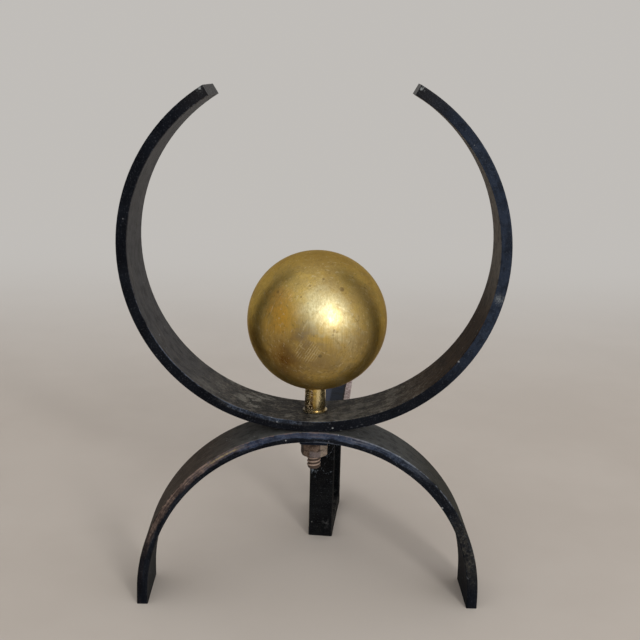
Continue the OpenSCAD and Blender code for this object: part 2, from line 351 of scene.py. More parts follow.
def build_brass_tarnish():
    """Aged brass: golden and brown clouds, a dull film, fine strokes, pits and dots."""
    tree, given, out = new_group(
        "brass_tarnish",
        [("Place", VECTOR, None), ("Gold", COLOUR, (0.66, 0.47, 0.17, 1)),
         ("Brown", COLOUR, (0.36, 0.21, 0.07, 1)), ("Film colour", COLOUR, (0.30, 0.26, 0.16, 1)),
         ("Brown share", FLOAT, 0.4), ("Film", FLOAT, 0.4), ("Pits", FLOAT, 0.5),
         ("Gloss", FLOAT, 0.24), ("Size", FLOAT, 1.0)],
        [("Color", COLOUR), ("Roughness", FLOAT), ("Height", FLOAT)])
    size = given["Size"]
    place = vector_maths("MULTIPLY", given["Place"], join_vector(size, size, size))
    clouds = grain(place, 34.0, 5.0, 0.62, 0.5)
    patches = grain(place, 120.0, 5.0, 0.65, 0.3)
    fine = grain(place, 800.0, 3.0, 0.6)
    stroke_a = grain(stretched(place, (0.1, 1, 1), (0.2, 0.0, 0.35)), 800.0, 2.0)
    stroke_b = grain(stretched(place, (1, 1, 0.1), (0.5, 0.3, 0.0)), 760.0, 2.0)
    strokes = maths("MAXIMUM", ramp(stroke_a, 0.62, 0.74), ramp(stroke_b, 0.64, 0.76))
    pits = (maths("MAXIMUM", dots(place, 420.0, 0.12, 0.2), dots(place, 160.0, 0.08, 0.12))
            * given["Pits"])
    brown = ramp(clouds, 0.42, 0.66) * given["Brown share"]
    film = ramp(patches, 0.44, 0.62) * given["Film"]
    colour = mix_colour(brown, given["Gold"], given["Brown"])
    colour = mix_colour(film, colour, given["Film colour"])
    colour = mix_colour(strokes * 0.22, colour, (0.86, 0.74, 0.44, 1))
    colour = mix_colour(pits * 0.85, colour, (0.10, 0.065, 0.03, 1))
    rough = given["Gloss"] + fine * 0.08 + film * 0.22 + brown * 0.06 + strokes * 0.05
    height = fine * 0.25 + patches * 0.3 + strokes * -0.25 + pits * -0.6
    feed(out["Color"], colour)
    feed(out["Roughness"], maths("MINIMUM", rough, 1.0))
    feed(out["Height"], height)
    return tree


BENT_BAR = build_bent_bar()
IRON_ENAMEL = build_iron_enamel()
BRASS_TARNISH = build_brass_tarnish()


# ---------------------------------------------------------------- materials

def new_material(name, specular=0.5, metallic=0.0):
    """Empty material with a Principled shader; returns its tree, shader and material."""
    material = bpy.data.materials.new(name)
    material.use_nodes = True
    tree = material.node_tree
    tree.nodes.clear()
    shader = add_node(tree, "ShaderNodeBsdfPrincipled", {
        "Specular IOR Level": specular, "Metallic": metallic})
    output = tree.nodes.new("ShaderNodeOutputMaterial")
    tree.links.new(shader.outputs["BSDF"], output.inputs["Surface"])
    return tree, shader, material


def finish_material(shader, colour, roughness, height, distance, strength=0.6):
    """Feeds the shader, with a bump of the given depth."""
    feed(shader.inputs["Base Color"], colour)
    feed(shader.inputs["Roughness"], roughness)
    bump = add_node(shader.id_data, "ShaderNodeBump", {
        "Strength": strength, "Distance": distance, "Height": height})
    feed(shader.inputs["Normal"], Signal(bump.outputs["Normal"]))


def bar_place(tree, turn, offset=0.0):
    """Object coordinates turned into a bar's own frame: along, across and up from the stud."""
    at_stud = add_node(tree, "ShaderNodeMapping", {
        "Vector": coordinates(tree), "Location": (STUD_X, STUD_Y, 0.0),
        "Rotation": (0.0, 0.0, -turn)}, vector_type="TEXTURE")
    return vector_maths("ADD", Signal(at_stud.outputs["Vector"]), (offset, 0.0, 0.0))


def upward(tree):
    """1 where a surface faces up, 0 where it is upright or faces down."""
    normal = Signal(tree.nodes.new("ShaderNodeNewGeometry").outputs["Normal"])
    return ramp(split_vector(normal)[2], 0.15, 0.9)


def crescent_enamel():
    """Navy-black front, grey and brown streaked inside, the grey on the left arm's inside being
    painted light from the right; dusty in the hollow, chipped tips; the pale line on the front's
    inner edge is partly a painted highlight.
    """
    tree, shader, material = new_material("crescent_enamel", specular=0.045)
    place = bar_place(tree, CRESCENT_TURN, CRESCENT_HOLE_OFFSET)
    bar = use_group(BENT_BAR, Place=place, Upside=-1.0, Arc_spread=ARM_SPREAD,
                    Arc_height=ARM_CENTRE, Arc_radius=ARM_R, Keel_height=KEEL_CENTRE,
                    Keel_radius=KEEL_R, Keel_angle=KEEL_HALF_ANGLE)
    turn, depth, run = bar["Turn"], bar["Depth"], bar["Run"]
    front, inner = bar["Front"], bar["Inner"]
    hollow = inner * band(turn, -34.0, 38.0, 12.0)
    # Base: near-black all round, bluish on the right arm's front, brown inside on the right; the
    # left arm's inside is painted a lighter grey, as painted light from the right
    enamel = mix_colour(front * band(turn, 50.0, 140.0, 16.0), (0.0022, 0.0028, 0.0048, 1),
                        (0.0175, 0.0245, 0.041, 1))
    enamel = mix_colour(inner * ramp(turn, -14.0, -40.0), enamel, (0.046, 0.045, 0.048, 1))
    brown_low = mix_colour(ramp(turn, 64.0, 92.0), (0.026, 0.014, 0.0065, 1),
                           (0.142, 0.129, 0.113, 1))
    enamel = mix_colour(inner * ramp(turn, 16.0, 40.0), enamel, brown_low)
    # Pale line on the front's inner edge, partly wear and partly a painted highlight on the rounded
    # arris, brighter towards the bottom
    inner_half = ramp(depth, BAR_T * 0.5, BAR_T * 0.7)
    worn_and_highlight_line = inner_half * ramp(turn, -88.0, -30.0, 0.15, 1.0) * ramp(turn, 14.0, -6.0)
    flaked = front * band(turn, -26.0, -1.0, 4.0) * inner_half
    rubbed = mix_colour(ramp(turn, 10.0, 40.0), (0.085, 0.074, 0.062, 1), (0.095, 0.062, 0.038, 1))
    rubbed = mix_colour(inner, (0.13, 0.16, 0.22, 1), rubbed)
    mottle = hollow + flaked * 0.9 + upward(tree) * inner * 0.2
    dust = mix_colour(flaked, (0.155, 0.143, 0.126, 1), (0.10, 0.125, 0.18, 1))
    pale = hollow * ramp(grain(run, 70.0, 5.0, 0.72), 0.52, 0.60)
    pale = pale * (0.4 + band(turn, -21.0, -6.0, 4.0) * 0.6)
    wear = use_group(IRON_ENAMEL, Run=run, Edge_distance=bar["Edge distance"], Enamel=enamel,
                     Rubbed=rubbed, Mottle=mottle, Mottle_colour=dust, Rub=0.16 + worn_and_highlight_line * 0.4,
                     Streaks=inner * 0.55, Specks=0.45, Scratches=0.22,
                     Gloss=0.3 + inner * 0.1 + inner * ramp(turn, 10.0, 50.0) * 0.2)
    # Knocks at the tips and on the right arm, and two stray specks
    ragged = (grain(run, 900.0, 4.0, 0.7) - 0.42) * (9.0 * MM)
    front_y = -BAR_W / 2
    scuff_at = (math.radians(76.8) * ARM_R, front_y, 2.6 * MM)
    fine = grain(run, 1500.0, 3.0, 0.7)
    knocks = spot(run, scuff_at, 5.0 * MM, ragged, 0.0) * ramp(fine, 0.38, 0.6) * 0.55
    chip, speck = 2.0 * MM, 0.55 * MM
    for degrees, across, low, size, loose in ((-146.5, front_y, 1.0 * MM, chip, ragged),
                                              (150.3, front_y, 1.5 * MM, chip, ragged),
                                              (-57.0, -9.0 * MM, BAR_T, speck, 0.0),
                                              (6.5, front_y, 2.2 * MM, speck, 0.0)):
        at = (math.radians(degrees) * ARM_R, across, low)
        knocks = maths("MAXIMUM", knocks, spot(run, at, size, loose))
    chalk = ramp(grain(run, 420.0, 4.0, 0.7), 0.36, 0.60, 0.3, 1.0)
    colour = mix_colour(pale * chalk * 0.8, wear["Color"], (0.25, 0.243, 0.22, 1))
    colour = mix_colour(knocks * 0.8, colour, (0.30, 0.32, 0.33, 1))
    away = maths("ABSOLUTE", turn)
    grey_tips = maths("GREATER_THAN", away, 121.0) * ramp(away, 135.0, 147.0)
    colour = mix_colour(grey_tips * 0.12, colour, (0.07, 0.06, 0.053, 1))
    height = wear["Height"] + knocks * -0.5
    finish_material(shader, colour, wear["Roughness"], height, 0.45 * MM, 0.9)
    return material


def arch_enamel():
    """Navy front with a painted slate-blue reflection at the crown, worn tan along the left leg,
    olive-grey outside; the left leg's inside is painted lighter as painted light, and the rim lines
    are partly a painted highlight.
    """
    tree, shader, material = new_material("arch_enamel", specular=0.05)
    place = bar_place(tree, 0.0, ARCH_HOLE_OFFSET)
    bar = use_group(BENT_BAR, Place=place, Straight_ends=1.0, Arc_height=ARCH_CENTRE,
                    Arc_radius=ARCH_R)
    turn, depth, run = bar["Turn"], bar["Depth"], bar["Run"]
    front, outer = bar["Front"], bar["Outer"]
    wave = (grain(stretched(run, (0.25, 1, 1)), 420.0, 4.0) - 0.5) * (5.0 * MM)
    upper_half = ramp(depth + wave, 4.2 * MM, 3.0 * MM)
    # The crown of the front is painted slate-blue, with blue mottle: a painted reflection on its
    # rounded edges; its streaks are wear
    crown = front * band(turn, -42.0, 40.0, 12.0) * upper_half
    slate = mix_colour(ramp(turn, 12.0, 30.0), (0.021, 0.030, 0.058, 1), (0.010, 0.015, 0.028, 1))
    foot = front * band(turn, 62.0, 84.0, 6.0)
    enamel = mix_colour(crown, (0.0028, 0.0038, 0.0066, 1), slate)
    outside = mix_colour(band(turn, -30.0, 36.0, 14.0), (0.024, 0.023, 0.018, 1),
                         (0.098, 0.101, 0.102, 1))
    enamel = mix_colour(outer, enamel, outside)
    # The left leg's inside is painted a lighter grey: painted light from the right
    enamel = mix_colour(bar["Inner"] * ramp(turn, 0.0, -40.0), enamel, (0.020, 0.0195, 0.019, 1))
    # Worn margin of the left leg, and the rim lines, which are partly wear and partly a painted
    # highlight on the rounded edges
    margin = band(turn, -70.0, -28.0, 9.0) * ramp(depth + wave, 4.4 * MM, 2.0 * MM)
    rim = band(turn, -50.0, 60.0, 8.0) * ramp(depth, 2.4 * MM, 1.2 * MM)
    under_line = band(turn, -6.0, 10.0, 4.0) * ramp(depth, BAR_T * 0.62, BAR_T * 0.8)
    rubbed = mix_colour(ramp(turn, 0.0, 24.0), (0.19, 0.135, 0.12, 1), (0.20, 0.22, 0.26, 1))
    rubbed = mix_colour(ramp(depth, 2.4 * MM, 3.4 * MM), rubbed, (0.11, 0.13, 0.17, 1))
    mottle_colour = mix_colour(crown, (0.080, 0.073, 0.058, 1), (0.085, 0.105, 0.155, 1))
    wear = use_group(IRON_ENAMEL, Run=run, Edge_distance=bar["Edge distance"], Enamel=enamel,
                     Rubbed=rubbed, Rub=0.14 + rim * 0.42 + under_line * 0.5,
                     Streaks=crown * 0.35 + 0.08,
                     Mottle=outer * 0.6 + crown * 0.55 + foot * 0.7, Mottle_colour=mottle_colour,
                     Specks=0.8, Scratches=0.5,
                     Gloss=0.32 + outer * 0.28 + bar["Inner"] * 0.3)
    worn = margin * (front + outer * 0.4)
    streaky = grain(stretched(run, (0.12, 1, 1)), 900.0, 4.0, 0.7)
    tan = mix_colour(ramp(streaky, 0.40, 0.68), (0.075, 0.052, 0.043, 1), (0.26, 0.185, 0.150, 1))
    flecks = ramp(grain(run, 620.0, 4.0, 0.7), 0.40, 0.60, 0.5, 1.0)
    colour = mix_colour(worn * flecks * 0.85, wear["Color"], tan)
    golden = (front * band(turn, -36.0, -24.0, 3.0)
              * band(depth + wave * 0.3, 0.9 * MM, 1.9 * MM, 0.4 * MM))
    colour = mix_colour(golden * flecks * 0.6, colour, (0.36, 0.29, 0.16, 1))
    rough = wear["Roughness"] + worn * 0.25
    finish_material(shader, colour, rough, wear["Height"], 0.45 * MM, 0.9)
    return material


def log_bar_enamel():
    """Navy top, matt with ash, with a painted lilac highlight, a painted shade line, and a rusty
    pink flaked margin along the right edge.
    """
    tree, shader, material = new_material("log_bar_enamel", specular=0.07)
    place = bar_place(tree, LOG_TURN)
    across = split_vector(place)[0]
    edge = across + (grain(place, 260.0, 4.0) - 0.5) * (1.6 * MM)
    margin = ramp(edge, 13.7 * MM, 14.3 * MM)
    # A painted shade line along the rusty margin
    shade_line = band(edge, 13.1 * MM, 13.9 * MM, 0.25 * MM)
    lilac = band(across, -1.0 * MM, 5.2 * MM, 0.6 * MM)
    top = upward(tree)
    flakes = grain(place, 420.0, 4.0, 0.7)
    rust = mix_colour(ramp(flakes, 0.38, 0.62), (0.27, 0.20, 0.19, 1), (0.56, 0.47, 0.46, 1))
    wear = use_group(IRON_ENAMEL, Run=place, Enamel=(0.0075, 0.0125, 0.025, 1),
                     Rubbed=(0.07, 0.075, 0.10, 1), Mottle=top * 0.15,
                     Mottle_colour=(0.07, 0.075, 0.09, 1), Streaks=0.15, Specks=0.3, Gloss=0.55)
    # A painted lilac highlight on the left part of the top
    colour = mix_colour(top * lilac * 0.42, wear["Color"], (0.10, 0.115, 0.17, 1))
    colour = mix_colour(margin * 0.9, colour, rust)
    colour = mix_colour(shade_line, colour, (0.010, 0.007, 0.006, 1))
    rough = wear["Roughness"] + margin * 0.3
    height = wear["Height"] + margin * flakes * 0.8
    finish_material(shader, colour, rough, height, 0.4 * MM, 0.8)
    return material


def leg_enamel():
    """Glossy near-black with curled scratches and limb sides painted lighter as painted light;
    floor dust where it is flat or near the foot.
    """
    tree, shader, material = new_material("leg_enamel", specular=0.0)
    shader.inputs["Coat Roughness"].default_value = 0.16
    place = bar_place(tree, LEG_TURN, LEG_OFFSET)
    x, _, z = split_vector(place)
    top = upward(tree)
    # Limb sides are dull; the faces that look forwards and backwards keep their gloss
    side = ramp(maths("ABSOLUTE", x), LEG_W / 2 - 0.7 * MM, LEG_W / 2 - 0.2 * MM)
    feed(shader.inputs["Coat Weight"], mix_value(side, 0.11, 0.03))
    curls = grain(place, 95.0, 3.0, 0.55, 1.6)
    curl_lines = ramp(maths("ABSOLUTE", curls - 0.5), 0.016, 0.004)
    broken = ramp(grain(place, 330.0, 3.0, 0.65), 0.46, 0.58)
    scratches = curl_lines * broken * band(z, 42 * MM, 84 * MM, 8 * MM)
    smear = (band(z, 7 * MM, 12 * MM, 3 * MM) * band(x, 1.5 * MM, 6.0 * MM, 1.5 * MM)
             * ramp(grain(place, 260.0, 4.0, 0.7), 0.46, 0.66))
    dusty = top * 0.3 + 0.03 + side * ramp(z, 40 * MM, 5 * MM) * 0.35
    wear = use_group(IRON_ENAMEL, Run=place, Enamel=(0.0022, 0.0028, 0.0036, 1),
                     Rubbed=(0.10, 0.11, 0.12, 1), Mottle=dusty,
                     Mottle_colour=(0.17, 0.155, 0.135, 1), Streaks=0.03, Specks=0.4,
                     Scratches=0.0, Gloss=0.4)
    colour = mix_colour(scratches * 0.75, wear["Color"], (0.19, 0.22, 0.26, 1))
    colour = mix_colour(smear * 0.22, colour, (0.20, 0.20, 0.20, 1))
    # The limb sides are painted a lighter grey: painted light on the side faces
    colour = mix_colour(side * 0.3, colour, (0.03, 0.029, 0.027, 1))
    finish_material(shader, colour, wear["Roughness"], wear["Height"], 0.3 * MM)
    return material


def weld_iron():
    """Blue-black weld scale with rust in the ripples."""
    tree, shader, material = new_material("weld_iron", specular=0.35)
    place = bar_place(tree, LEG_TURN)
    wear = use_group(IRON_ENAMEL, Run=place, Enamel=(0.014, 0.014, 0.017, 1),
                     Rubbed=(0.12, 0.12, 0.13, 1), Mottle=0.7,
                     Mottle_colour=(0.10, 0.045, 0.02, 1), Streaks=0.0, Specks=0.3, Gloss=0.4)
    finish_material(shader, wear["Color"], wear["Roughness"], wear["Height"], 0.3 * MM)
    return material


# Marks on the ball, in mm from its centre: place, radius, colour, strength; a few are painted
# highlight and painted reflections, as noted
BALL_MARKS_AND_PAINTED_LIGHT = (
    ((0.0, -10.0, 38.0), 30.0, (0.42, 0.27, 0.08, 1), 0.8),
    ((-20.0, -32.4, 9.0), 19.0, (0.76, 0.42, 0.06, 1), 0.95),
    ((-23.0, -27.0, 19.0), 14.0, (0.62, 0.33, 0.07, 1), 0.6),
    # Painted reflection: a dark band near the left rim
    ((-35.0, -16.0, -8.0), 19.0, (0.20, 0.115, 0.03, 1), 0.95),
    ((19.5, -29.5, 18.6), 15.0, (0.46, 0.31, 0.10, 1), 0.7),
    ((-18.1, -32.0, -14.5), 21.0, (0.18, 0.08, 0.015, 1), 1.0),
    # Painted reflection of a dark thing in front, low on the left
    ((-9.0, -38.0, -7.0), 15.0, (0.25, 0.17, 0.07, 1), 0.7),
    ((-6.5, -39.1, 2.0), 11.0, (0.32, 0.25, 0.15, 1), 0.9),
    ((3.0, -37.0, -14.5), 19.0, (0.33, 0.25, 0.13, 1), 0.7),
    ((17.5, -34.8, -6.9), 15.0, (0.58, 0.47, 0.24, 1), 0.6),
    ((24.0, -31.0, -5.0), 12.0, (0.36, 0.27, 0.12, 1), 0.6),
    # Painted highlight: paler brass about the highlight, in this mark and the next
    ((2.0, -36.0, 16.0), 21.0, (0.74, 0.68, 0.42, 1), 0.9),
    ((12.0, -37.0, 6.0), 16.0, (0.74, 0.68, 0.42, 1), 0.6),
    ((12.4, -29.0, 24.1), 1.7, (0.17, 0.11, 0.05, 1), 0.7),
    ((2.4, -26.9, 29.1), 0.9, (0.20, 0.13, 0.06, 1), 0.7),
    ((-4.8, -29.8, 25.8), 0.8, (0.20, 0.13, 0.06, 1), 0.6),
    ((-22.0, -25.4, 21.2), 1.1, (0.20, 0.12, 0.05, 1), 0.6),
    ((-9.5, -32.8, 20.3), 0.7, (0.20, 0.13, 0.06, 1), 0.6),
    ((8.7, -38.6, 3.4), 1.2, (0.20, 0.15, 0.09, 1), 0.5),
    ((8.0, -38.9, 1.2), 0.9, (0.20, 0.15, 0.09, 1), 0.5),
    ((1.3, -38.2, -10.7), 1.4, (0.16, 0.12, 0.06, 1), 0.7),
)
# Marks with a larger radius than this have soft and ragged edges, in mm
BROAD_MARK = 5.0


def ball_brass():
    """Satin brass with golden, brown and grey marks, some of them painted highlight and painted
    reflections, brush lines and light strokes.
    """
    tree, shader, material = new_material("ball_brass", metallic=1.0)
    shader.inputs["Specular Tint"].default_value = (0.74, 0.63, 0.42, 1)
    place = vector_maths("SUBTRACT", coordinates(tree), BALL_CENTRE)
    x, _, z = split_vector(place)
    low = ramp(z, 2.0 * MM, -30.0 * MM)
    brass = use_group(BRASS_TARNISH, Place=place, Gold=(0.62, 0.435, 0.125, 1),
                      Brown_share=0.4 + low * 0.3, Film=0.24 + low * 0.3, Pits=0.7, Gloss=0.285)
    ragged = (grain(place, 150.0, 6.0, 0.7) - 0.45) * (26.0 * MM)
    colour = brass["Color"]
    dulled = 0.0
    for at, radius, tint, strength in BALL_MARKS_AND_PAINTED_LIGHT:
        centre = tuple(value * MM for value in at)
        loose, core = (ragged, 0.0) if radius > BROAD_MARK else (0.0, 0.55)
        mark = spot(place, centre, radius * MM, loose, core) * strength
        colour = mix_colour(mark, colour, tint)
        dulled = maths("MAXIMUM", dulled, mark)
    # Light strokes in two directions below the highlight
    hatch_at = (-5.7 * MM, -38.3 * MM, -8.6 * MM)
    broken = ramp(grain(place, 420.0, 3.0, 0.6), 0.42, 0.56)
    patchy = ramp(grain(place, 190.0, 3.0, 0.6), 0.38, 0.50, 0.15, 1.0)
    slant = x * 0.87 + z * -0.5 + ragged * 0.02
    level = x * 0.26 + z * 0.97 + ragged * 0.02
    hatch_a = ramp(maths("SINE", slant * (2 * math.pi / (1.3 * MM))), 0.35, 0.95)
    hatch_b = ramp(maths("SINE", level * (2 * math.pi / (2.1 * MM))), 0.7, 0.98)
    hatch = (spot(place, hatch_at, 8.5 * MM, ragged * 0.15) * patchy
             * maths("MAXIMUM", hatch_a, hatch_b * 0.3))
    colour = mix_colour(hatch * 0.55, colour, (0.88, 0.76, 0.46, 1))
    # Short handling strokes, two dark and two light, each in its own direction
    dark_stroke, light_stroke = (0.20, 0.135, 0.05, 1), (0.85, 0.74, 0.45, 1)
    for slope, shade in ((0.9, dark_stroke), (-0.8, dark_stroke), (-1.1, light_stroke),
                         (0.5, light_stroke)):
        long_way = stretched(place, (0.07, 1, 1), (0.1, slope, 0.2))
        short = ramp(grain(long_way, 700.0, 2.0, 0.6), 0.60, 0.70)
        colour = mix_colour(short * broken * 0.42, colour, shade)
    # Grainy tarnish, thicker in the lower half
    grime = (ramp(grain(place, 520.0, 4.0, 0.7), 0.48, 0.66)
             * ramp(grain(place, 60.0, 4.0, 0.65), 0.40, 0.62) * (0.3 + low * 0.35))
    colour = mix_colour(grime, colour, (0.22, 0.145, 0.05, 1))
    # Fine upright brush lines all over
    brushed = grain(stretched(place, (1, 1, 0.06)), 1300.0, 3.0, 0.65)
    colour = mix_colour(ramp(brushed, 0.42, 0.62) * 0.32, colour, (0.34, 0.235, 0.075, 1))
    rough = brass["Roughness"] + dulled * 0.08 + hatch * 0.15 + brushed * 0.06
    height = brass["Height"] + brushed * 0.7 + hatch * -0.4
    finish_material(shader, colour, rough, height, 0.07 * MM, 0.7)
    return material


def stem_brass():
    """Darker, pitted brass; the left of the sleeve is blackened, the ring stays pale gold."""
    tree, shader, material = new_material("stem_brass", metallic=1.0)
    place = vector_maths("SUBTRACT", coordinates(tree), (STUD_X, STUD_Y, 0.0))
    x, _, z = split_vector(place)
    left = ramp(x, -0.6 * MM, -2.4 * MM)
    right = ramp(x, -0.2 * MM, 1.6 * MM)
    ring = ramp(z, CROWN_TOP + 9.5 * MM, CROWN_TOP + 9.0 * MM)
    brass = use_group(BRASS_TARNISH, Place=place, Gold=(0.66, 0.46, 0.12, 1),
                      Brown=(0.15, 0.08, 0.025, 1), Film_colour=(0.24, 0.18, 0.08, 1),
                      Brown_share=0.45 + left * 0.5, Film=0.55 + left * 0.4, Pits=0.9, Gloss=0.17,
                      Size=3.0)
    colour = mix_colour(right * 0.8, brass["Color"], (0.92, 0.77, 0.43, 1))
    speckle = grain(place, 1700.0, 2.0)
    shaded = (band(x, -2.8 * MM, -1.2 * MM, 0.4 * MM) * 0.6
              + right * ramp(speckle, 0.50, 0.60) * 0.2
              + ramp(z, CROWN_TOP + 14 * MM, CROWN_TOP + 10 * MM) * 0.35)
    colour = mix_colour(shaded, colour, (0.17, 0.095, 0.035, 1))
    blackened = (left * 0.85 + 0.15) * ramp(grain(place, 780.0, 4.0, 0.7), 0.58, 0.44)
    colour = mix_colour(blackened * 0.9, colour, (0.05, 0.026, 0.012, 1))
    flecks = left * ramp(speckle, 0.54, 0.62)
    colour = mix_colour(flecks * 0.85, colour, (0.72, 0.56, 0.36, 1))
    feed(shader.inputs["Metallic"], 1.0 - flecks)
    ring_tone = mix_colour(ramp(x, -4.5 * MM, 0.5 * MM), (0.13, 0.11, 0.07, 1),
                           (0.50, 0.40, 0.22, 1))
    colour = mix_colour(ring * 0.75, colour, ring_tone)
    finish_material(shader, colour, brass["Roughness"], brass["Height"], 0.12 * MM, 0.7)
    return material


def rusty_steel():
    """Even brown rust with pink-tan bloom and a lighter lilac-grey patch on the nut's face."""
    tree, shader, material = new_material("rusty_steel", specular=0.25)
    place = vector_maths("SUBTRACT", coordinates(tree), (STUD_X, STUD_Y, NUT_LOW.z))
    x, y, z = split_vector(place)
    patches = grain(place, 300.0, 5.0, 0.68)
    fine = grain(place, 1100.0, 3.0, 0.6)
    layers = grain(stretched(place, (0.3, 0.3, 1)), 620.0, 3.0, 0.6)
    colour = mix_colour(ramp(patches, 0.38, 0.62), (0.042, 0.025, 0.017, 1), (0.19, 0.13, 0.10, 1))
    colour = mix_colour(ramp(fine, 0.52, 0.7) * 0.4, colour, (0.30, 0.23, 0.195, 1))
    left = ramp(x, -1.5 * MM, -4.0 * MM)
    colour = mix_colour(left * 0.55, colour, (0.055, 0.036, 0.024, 1))
    right = ramp(x, 2.8 * MM, 4.2 * MM)
    colour = mix_colour(right * 0.65, colour, (0.38, 0.31, 0.245, 1))
    thread = ramp(z, 0.2 * MM, -0.4 * MM)
    colour = mix_colour(thread * 0.75, colour, (0.44, 0.325, 0.265, 1))
    # A lighter lilac-grey patch on the nut's front face
    rubbed = (band(x, -2.6 * MM, 3.6 * MM, 0.5 * MM) * band(z, 0.3 * MM, 4.0 * MM, 0.5 * MM)
              * ramp(y, -5.0 * MM, -6.5 * MM))
    colour = mix_colour(rubbed * 0.65, colour, (0.17, 0.145, 0.15, 1))
    # Shadowed roots of the thread below the nut
    away = vector_maths("LENGTH", join_vector(x, y))
    roots = ramp(away, STUD_R - 0.15 * MM, STUD_R - 0.42 * MM) * thread
    colour = mix_colour(roots * 0.85, colour, (0.018, 0.009, 0.006, 1))
    cracks = band(z + patches * (1.5 * MM), 4.9 * MM, 5.4 * MM, 0.3 * MM) * ramp(layers, 0.40, 0.5)
    colour = mix_colour(cracks * 0.85, colour, (0.025, 0.014, 0.010, 1))
    pitted = ramp(grain(place, 1500.0, 2.0), 0.47, 0.38) * (1.0 - thread * 0.6)
    colour = mix_colour(pitted * 0.5, colour, (0.022, 0.013, 0.009, 1))
    height = patches * 0.6 + fine * 0.25 + layers * 0.35 + cracks * -0.6 + pitted * -0.3
    rough = 0.62 + patches * 0.25
    finish_material(shader, colour, rough, height, 0.3 * MM, 0.8)
    return material


# ---------------------------------------------------------------- modelling helpers

def deselect_all():
    if bpy.context.object and bpy.context.object.mode != "OBJECT":
        bpy.ops.object.mode_set(mode="OBJECT")
    bpy.ops.object.select_all(action="DESELECT")


def take(piece):
    """Makes one piece the only selected and active object."""
    deselect_all()
    piece.select_set(True)
    bpy.context.view_layer.objects.active = piece
    return piece


def settle(piece):
    """Writes a piece's place, turn and size into its mesh."""
    take(piece)
    bpy.ops.object.transform_apply(location=True, rotation=True, scale=True)
    return piece


def pick(piece, test, kind="EDGE"):
    """Enters edit mode with the edges or faces whose every corner passes a test selected."""
    take(piece)
    bpy.ops.object.mode_set(mode="EDIT")
    bpy.ops.mesh.select_mode(type=kind)
    bpy.ops.mesh.select_all(action="DESELECT")
    bpy.ops.object.mode_set(mode="OBJECT")
    mesh = piece.data
    for part in (mesh.edges if kind == "EDGE" else mesh.polygons):
        part.select = all(test(mesh.vertices[i].co) for i in part.vertices)
    bpy.ops.object.mode_set(mode="EDIT")


def leave_edit():
    bpy.ops.object.mode_set(mode="OBJECT")


def apply_modifier(piece, kind, **settings):
    take(piece)
    modifier = piece.modifiers.new(kind.lower(), kind)
    for name, value in settings.items():
        setattr(modifier, name, value)
    bpy.ops.object.modifier_apply(modifier=modifier.name)


def cut_with(piece, tool, operation):
    """Boolean of a piece with a tool that is then thrown away."""
    apply_modifier(piece, "BOOLEAN", object=tool, operation=operation, solver="EXACT")
    bpy.data.objects.remove(tool, do_unlink=True)


def copy_piece(piece):
    """Copy with its own mesh."""
    made = piece.copy()
    made.data = piece.data.copy()
    bpy.context.scene.collection.objects.link(made)
    return made


def join_pieces(pieces):
    take(pieces[0])
    for piece in pieces[1:]:
        piece.select_set(True)
    bpy.ops.object.join()
    return bpy.context.object


def hand_over(piece, name, node, material, angle=math.radians(35)):
    """Names a finished piece and lets it stand for its CAD node."""
    take(piece)
    bpy.ops.object.shade_smooth_by_angle(angle=angle)
    piece.name = name
    piece.data.name = name
    piece.data.materials.clear()
    piece.data.materials.append(material)
    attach(piece, "root")
    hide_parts(node)


# ---------------------------------------------------------------- new pieces

def model_threaded_stud(material):
    """Threaded rod: a core with bevelled ends and one rounded ridge wound along it."""
    low, high = STUD_LOW.z, STUD_HIGH.z
    core_r = STUD_R - THREAD_RIDGE_R
    deselect_all()
    bpy.ops.mesh.primitive_cylinder_add(vertices=48, radius=core_r, depth=high - low,
                                        location=(0, 0, (low + high) / 2))
    core = settle(bpy.context.object)
    pick(core, lambda at: at.z < low + AT_LEVEL or at.z > high - AT_LEVEL)
    bpy.ops.mesh.bevel(offset=STUD_BEVEL, segments=3)
    leave_edit()
    bare_low, bare_high = 0.5 * MM, 1.2 * MM
    start = low + THREAD_RIDGE_R + bare_low
    turns = int((high - start - bare_high) / THREAD_PITCH)
    deselect_all()
    bpy.ops.mesh.primitive_circle_add(vertices=10, radius=THREAD_RIDGE_R, fill_type="NOTHING",
                                      location=(core_r, 0, start), rotation=(math.pi / 2, 0, 0))
    ridge = settle(bpy.context.object)
    apply_modifier(ridge, "SCREW", steps=24, render_steps=24, iterations=turns,
                   screw_offset=THREAD_PITCH, use_merge_vertices=False)
    bpy.ops.object.mode_set(mode="EDIT")
    bpy.ops.mesh.select_all(action="SELECT")
    bpy.ops.mesh.fill_holes(sides=0)
    bpy.ops.mesh.select_all(action="SELECT")
    bpy.ops.mesh.normals_make_consistent(inside=False)
    leave_edit()
    stud = join_pieces([core, ridge])
    stud.location = (STUD_X, STUD_Y, 0)
    settle(stud)
    hand_over(stud, "threaded_stud", "stud", material, math.radians(50))


def rust_lumps(size):
    texture = bpy.data.textures.new("rust_lumps", "CLOUDS")
    texture.noise_scale = size
    texture.noise_depth = 3
    return texture


